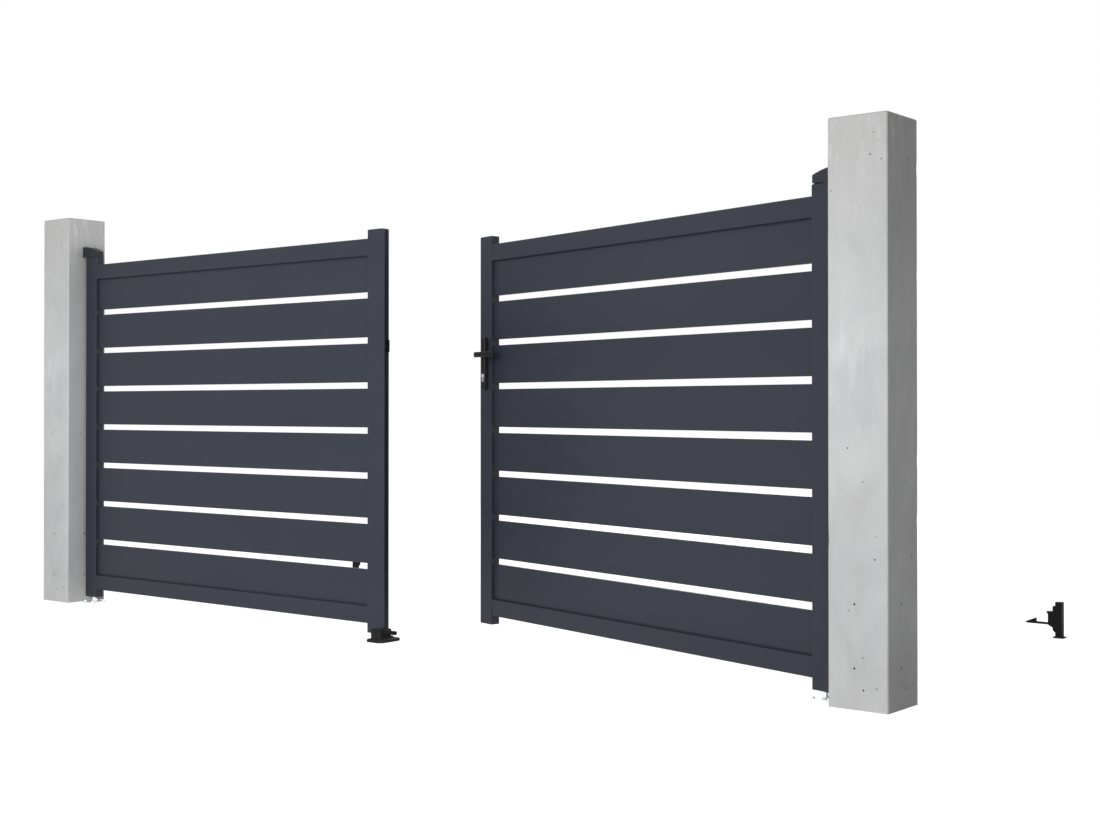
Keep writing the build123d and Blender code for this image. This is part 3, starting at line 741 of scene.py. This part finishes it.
sleeve_end = Vector((high.x, low.y + stop_lip_setback + stop_lip_depth / 2, high.z - stop_arm_height / 2))
rings = []
mesh = bmesh.new()
sleeve_profile = (
    (-sleeve_length, -sleeve_hem),
    (-sleeve_length, sleeve_wall),
    (0, sleeve_wall),
    (sleeve_tip, -sleeve_tip_inset),
)
for along, grow in sleeve_profile:
    ring = []
    for step in range(sleeve_steps):
        flank, rise = rounded(2 * math.pi * (step + 0.5) / sleeve_steps, sleeve_squareness)
        offset = Vector((along, flank * (stop_lip_depth / 2 + grow), rise * (stop_arm_height / 2 + grow)))
        ring.append(mesh.verts.new(sleeve_end + offset))
    rings.append(ring)
loft(mesh, rings)
to_object(mesh, "stop_arm_sleeve", rubber, "posts")


# Hold-open catches: black painted uprights bedded in the ground. A weighted arm tilts on a pin
# between the cheeks, and its tooth rises behind the open leaf.
pin_head_radius = 0.0055
pin_head_height = 0.0014
pin_band = 0.006
catch_coat = (0.0300, 0.0300, 0.0304, 1)
catch_deep = (0.0245, 0.0245, 0.0250, 1)
catch_body_edge = 0.001
catch_arm_edge = 0.0008
catch_paint = coated(
    "matt_black_catch_coat", catch_coat, catch_deep, black_rubbed,
    rough=0.66, sheen=0.12, grain_scale=800.0, grain_depth=0.00008)
for side in ("left", "right"):
    soften(f"{side}_catch_body", catch_paint, catch_body_edge)
    soften(f"{side}_catch_arm", catch_paint, catch_arm_edge)
    pivot = Vector(joints[f"{side}_catch_tilt"]["pos_m"])
    points = [Vector(vertex.co) for vertex in cad[f"{side}_catch_body"].data.vertices]
    cheek = max(abs(point.y - pivot.y) for point in points if abs(point.z - pivot.z) < pin_band)
    mesh = bmesh.new()
    for outward in (Vector((0, -1, 0)), Vector((0, 1, 0))):
        screw(mesh, pivot + outward * cheek, outward, pin_head_radius, pin_head_height)
    to_object(mesh, f"{side}_catch_pin_heads", catch_paint, "posts")


# Studio: a pale floor without end, an even white sky, a large soft lamp in front and to the right,
# another behind, and the camera 0.9 m up on the right, turned to the left.
floor_half = 40.0
floor_glow = 0.90
floor_grey = (0.40, 0.40, 0.40, 1)
sky_fill = 0.40
mesh = bmesh.new()
bmesh.ops.create_grid(mesh, x_segments=4, y_segments=4, size=floor_half)
data = bpy.data.meshes.new("studio_floor")
mesh.to_mesh(data)
mesh.free()
floor = bpy.data.objects.new("studio_floor", data)
bpy.context.scene.collection.objects.link(floor)
pale = bpy.data.materials.new("pale_floor")
pale.use_nodes = True
tree = pale.node_tree
tree.nodes.remove(tree.nodes["Principled BSDF"])
seen = add(tree, "LightPath").outputs
shown = calc(tree, "MAXIMUM", seen["Is Camera Ray"], seen["Is Glossy Ray"])
strength = calc(tree, "MULTIPLY", shown, floor_glow)
glow = add(tree, "Emission", {"Color": (1, 1, 1, 1), "Strength": strength}).outputs[0]
matt = add(tree, "BsdfDiffuse", {"Color": floor_grey}).outputs[0]
both = add(tree, "AddShader", {0: glow, 1: matt}).outputs[0]
tree.links.new(both, tree.nodes["Material Output"].inputs["Surface"])
data.materials.append(pale)

world = bpy.data.worlds.new("white_sky")
bpy.context.scene.world = world
world.use_nodes = True
tree = world.node_tree
seen = add(tree, "LightPath").outputs
mirrored = calc(tree, "MAXIMUM", seen["Is Glossy Ray"], seen["Is Transmission Ray"])
shown = calc(tree, "MAXIMUM", seen["Is Camera Ray"], mirrored)
level = add(tree, "Mix", {0: shown, 2: sky_fill, 3: 1.0}).outputs[0]
sky = tree.nodes["Background"]
sky.inputs["Color"].default_value = (1, 1, 1, 1)
tree.links.new(level, sky.inputs["Strength"])


def soft_lamp(name, place, target, size, power):
    """A square soft box turned to a point."""
    lamp = bpy.data.lights.new(name, "AREA")
    lamp.size = size
    lamp.energy = power
    fitting = bpy.data.objects.new(name, lamp)
    fitting.location = place
    fitting.rotation_euler = (Vector(target) - Vector(place)).to_track_quat("-Z", "Y").to_euler()
    bpy.context.scene.collection.objects.link(fitting)


soft_lamp("front_softbox", place=(4.1, -5.0, 1.7), target=(-1.3, -2.4, 0.9), size=2.6, power=350.0)
soft_lamp("back_softbox", place=(0.6, 7.0, 2.6), target=(2.1, 0.0, 0.9), size=3.0, power=260.0)

photo_width, photo_height = 1100, 824
focal_pixels = 1554.07
horizon_centre = 394.97
camera_place = Vector((6.39619, -4.31895, 0.91243))
camera_yaw = math.radians(38.95)
camera_pitch = math.radians(0.44)
view = bpy.data.cameras.new("standing_view")
view.sensor_fit = "HORIZONTAL"
view.lens = focal_pixels / photo_width * view.sensor_width
view.shift_y = (horizon_centre - photo_height / 2) / photo_width
camera = bpy.data.objects.new("standing_view", view)
camera.location = camera_place
camera.rotation_euler = (math.pi / 2 + camera_pitch, 0, camera_yaw)
bpy.context.scene.collection.objects.link(camera)
bpy.context.scene.camera = camera
bpy.context.scene.view_settings.view_transform = "Standard"
